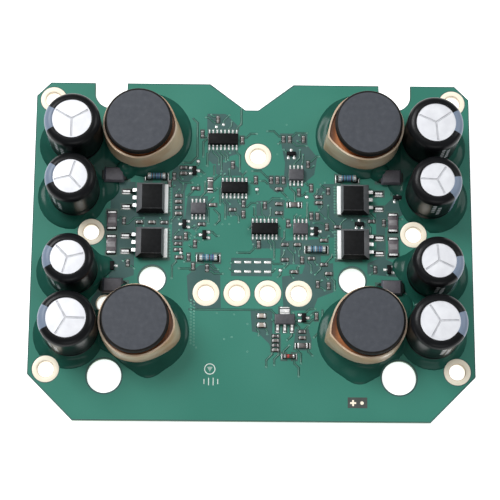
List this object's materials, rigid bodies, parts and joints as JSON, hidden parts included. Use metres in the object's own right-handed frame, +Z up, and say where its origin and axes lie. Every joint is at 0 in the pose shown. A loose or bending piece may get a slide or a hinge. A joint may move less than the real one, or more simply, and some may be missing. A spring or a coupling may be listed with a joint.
{
  "type": "motor drive power board",
  "caption": "Bare circuit board of a motor drive's power stage: rows of capacitors and wound inductors on both sides, power transistors, chips and screw-down pads.",
  "frame": {"origin": "under the middle of the board, on the surface that its clipped leads stand on", "axes": "+X along the board's long side, +Y towards the edge with the notch and the slots, +Z up through the components"},
  "size_m": [0.142, 0.1116, 0.0238],
  "materials": {
    "solder_mask": "satin",
    "can_aluminium": "satin",
    "black_sleeve": "gloss",
    "ferrite": "matte",
    "copper_winding": "gloss",
    "tan_wrap": "satin",
    "moulded_plastic": "matte",
    "tinned_metal": "satin",
    "resistor_ceramic": "satin",
    "blue_lacquer": "gloss"
  },
  "bodies": {
    "root": {"capacitor_left_1_can": "can_aluminium", "capacitor_left_1_sleeve": "black_sleeve", "capacitor_left_2_can": "can_aluminium", "capacitor_left_2_sleeve": "black_sleeve", "capacitor_left_3_can": "can_aluminium", "capacitor_left_3_sleeve": "black_sleeve", "capacitor_left_4_can": "can_aluminium", "capacitor_left_4_sleeve": "black_sleeve", "capacitor_right_1_can": "can_aluminium", "capacitor_right_1_sleeve": "black_sleeve", "capacitor_right_2_can": "can_aluminium", "capacitor_right_2_sleeve": "black_sleeve", "capacitor_right_3_can": "can_aluminium", "capacitor_right_3_sleeve": "black_sleeve", "capacitor_right_4_can": "can_aluminium", "capacitor_right_4_sleeve": "black_sleeve", "chip_resistor_1": "resistor_ceramic", "chip_resistor_2": "resistor_ceramic", "chip_resistor_3": "resistor_ceramic", "circuit_board": "solder_mask", "controller_chip": "moulded_plastic", "driver_chip_1": "moulded_plastic", "driver_chip_2": "moulded_plastic", "driver_chip_3": "moulded_plastic", "inductor_back_left_core": "ferrite", "inductor_back_left_winding": "copper_winding", "inductor_back_left_wrap": "tan_wrap", "inductor_back_right_core": "ferrite", "inductor_back_right_winding": "copper_winding", "inductor_back_right_wrap": "tan_wrap", "inductor_front_left_core": "ferrite", "inductor_front_left_winding": "copper_winding", "inductor_front_left_wrap": "tan_wrap", "inductor_front_right_core": "ferrite", "inductor_front_right_winding": "copper_winding", "inductor_front_right_wrap": "tan_wrap", "logic_chip_1": "moulded_plastic", "logic_chip_2": "moulded_plastic", "power_diode_back_left": "moulded_plastic", "power_diode_back_right": "moulded_plastic", "power_diode_front_left": "moulded_plastic", "power_diode_front_right": "moulded_plastic", "round_resistor_1": "blue_lacquer", "round_resistor_2": "blue_lacquer", "round_resistor_3": "blue_lacquer", "round_resistor_4": "blue_lacquer", "shunt_resistor_back_left": "resistor_ceramic", "shunt_resistor_back_right": "resistor_ceramic", "shunt_resistor_front_left": "resistor_ceramic", "shunt_resistor_front_right": "resistor_ceramic", "signal_diode": "blue_lacquer", "transistor_back_left_body": "moulded_plastic", "transistor_back_left_tab": "tinned_metal", "transistor_back_right_body": "moulded_plastic", "transistor_back_right_tab": "tinned_metal", "transistor_front_left_body": "moulded_plastic", "transistor_front_left_tab": "tinned_metal", "transistor_front_right_body": "moulded_plastic", "transistor_front_right_tab": "tinned_metal", "voltage_regulator": "moulded_plastic"}
  },
  "joints": []
}
